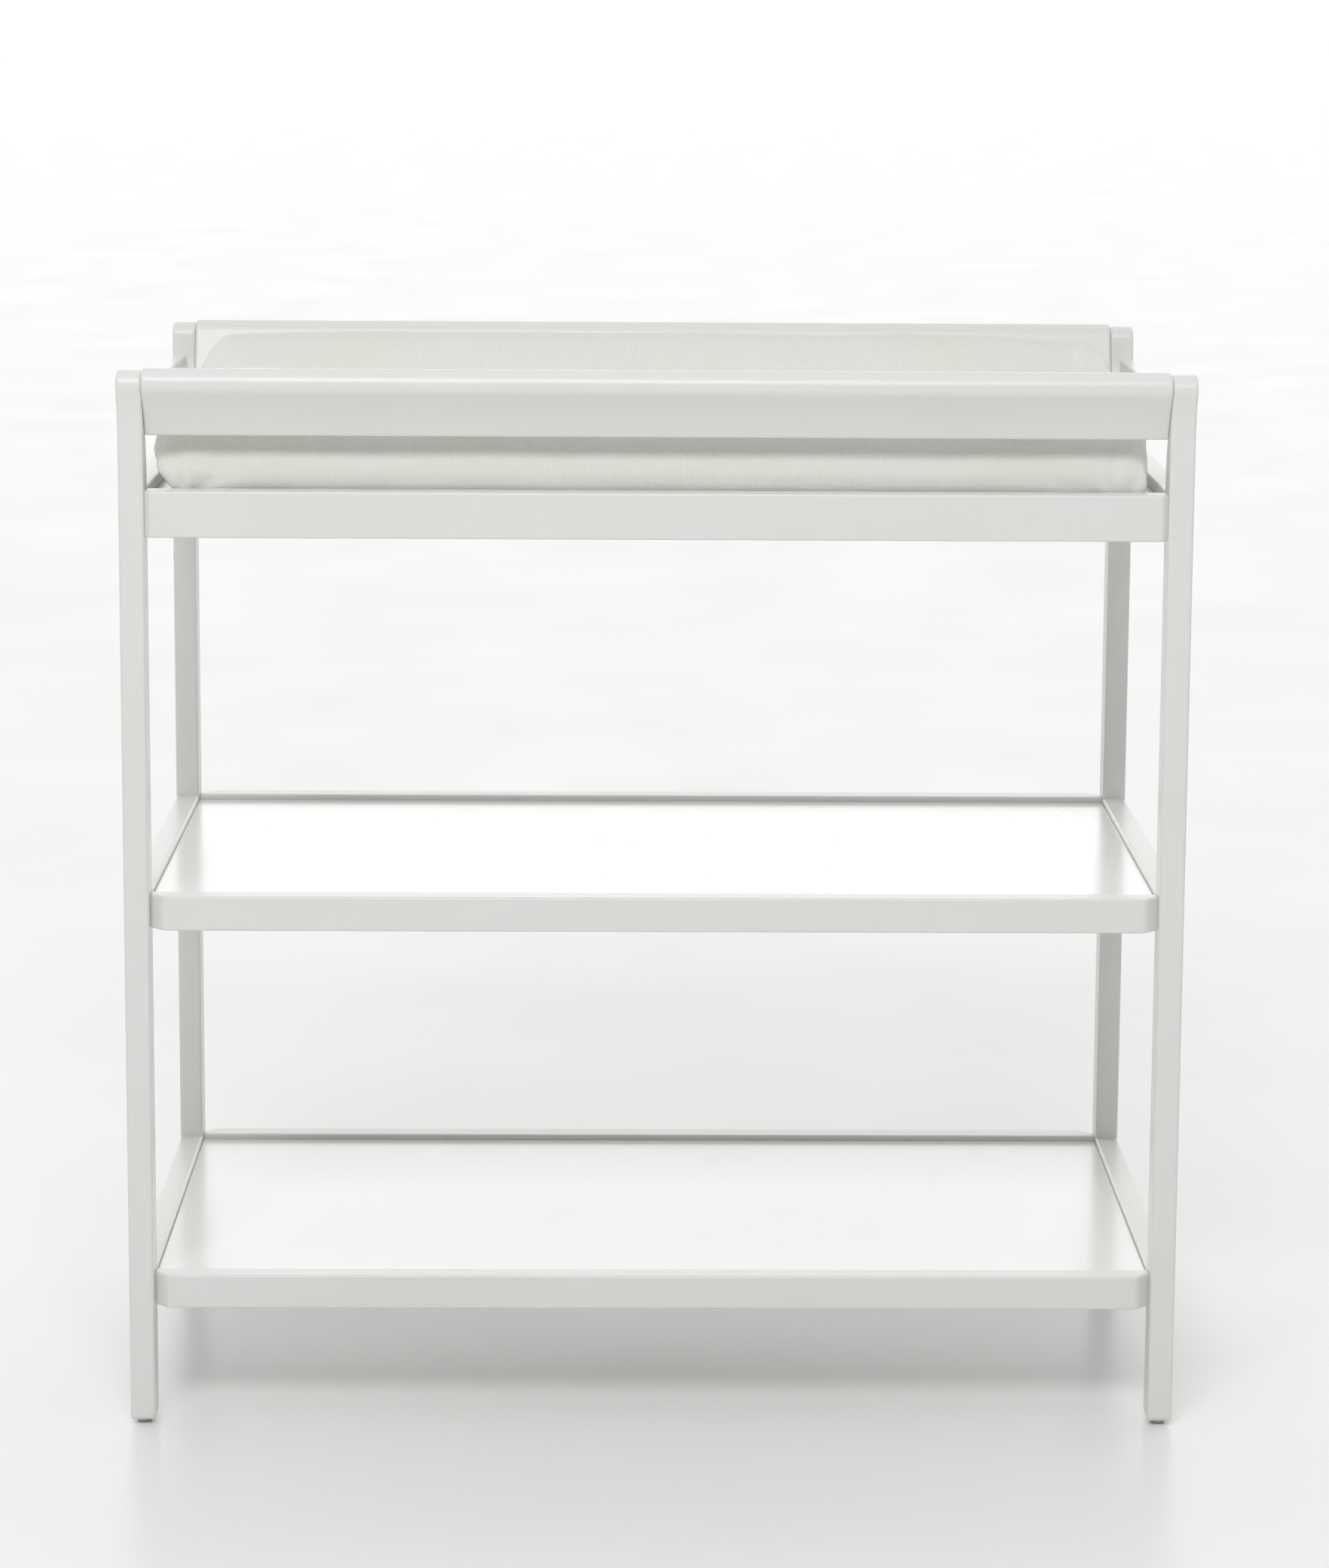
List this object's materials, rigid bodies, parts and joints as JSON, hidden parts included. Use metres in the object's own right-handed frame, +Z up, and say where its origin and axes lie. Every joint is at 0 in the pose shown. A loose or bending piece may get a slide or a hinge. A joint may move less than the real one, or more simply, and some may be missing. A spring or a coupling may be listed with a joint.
{
  "type": "changing table",
  "caption": "White wooden changing table with a railed top tray holding a contoured pad, two open shelves below and straight legs that end in small outward scrolls.",
  "frame": {"origin": "on the floor, under the middle of the stand", "axes": "+Z up, the front faces -Y, +X to the right seen from the front"},
  "size_m": [0.89, 0.489, 0.906],
  "materials": {
    "painted_wood": "satin",
    "painted_board": "satin",
    "painted_pine": "matte",
    "beech": "matte",
    "zinc_steel": "satin",
    "glide_plastic": "satin",
    "pad_fabric": "matte",
    "foam": "matte"
  },
  "bodies": {
    "stand": {"glide_back_left": "glide_plastic", "glide_back_right": "glide_plastic", "glide_front_left": "glide_plastic", "glide_front_right": "glide_plastic", "leg_back_left": "painted_wood", "leg_back_right": "painted_wood", "leg_front_left": "painted_wood", "leg_front_right": "painted_wood", "lower_apron_back": "painted_wood", "lower_apron_front": "painted_wood", "lower_barrel_nuts": "zinc_steel", "lower_bolts": "zinc_steel", "lower_cleat_back": "painted_pine", "lower_cleat_front": "painted_pine", "lower_cleat_screws": "zinc_steel", "lower_panel": "painted_board", "lower_panel_screws": "zinc_steel", "lower_rail_dowels": "beech", "lower_side_dowels": "beech", "lower_side_rail_left": "painted_wood", "lower_side_rail_right": "painted_wood", "middle_apron_back": "painted_wood", "middle_apron_front": "painted_wood", "middle_barrel_nuts": "zinc_steel", "middle_bolts": "zinc_steel", "middle_cleat_back": "painted_pine", "middle_cleat_front": "painted_pine", "middle_cleat_screws": "zinc_steel", "middle_panel": "painted_board", "middle_panel_screws": "zinc_steel", "middle_rail_dowels": "beech", "middle_side_dowels": "beech", "middle_side_rail_left": "painted_wood", "middle_side_rail_right": "painted_wood", "top_connector_screws": "zinc_steel", "top_rail_back": "painted_wood", "top_rail_dowels": "beech", "top_rail_front": "painted_wood", "top_side_dowels": "beech", "top_side_rail_left": "painted_wood", "top_side_rail_right": "painted_wood", "tray_apron_back": "painted_wood", "tray_apron_front": "painted_wood", "tray_barrel_nuts": "zinc_steel", "tray_bolts": "zinc_steel", "tray_cleat_back": "painted_pine", "tray_cleat_front": "painted_pine", "tray_cleat_screws": "zinc_steel", "tray_panel": "painted_board", "tray_panel_screws": "zinc_steel", "tray_rail_dowels": "beech", "tray_side_dowels": "beech", "tray_side_rail_left": "painted_wood", "tray_side_rail_right": "painted_wood"},
    "pad": {"pad_core": "foam", "pad_cover": "pad_fabric"}
  },
  "joints": [
    {"name": "pad_lift", "type": "slide", "parent": "stand", "child": "pad", "axis": [0, 0, 1], "range_m": [0, 0.2]}
  ]
}
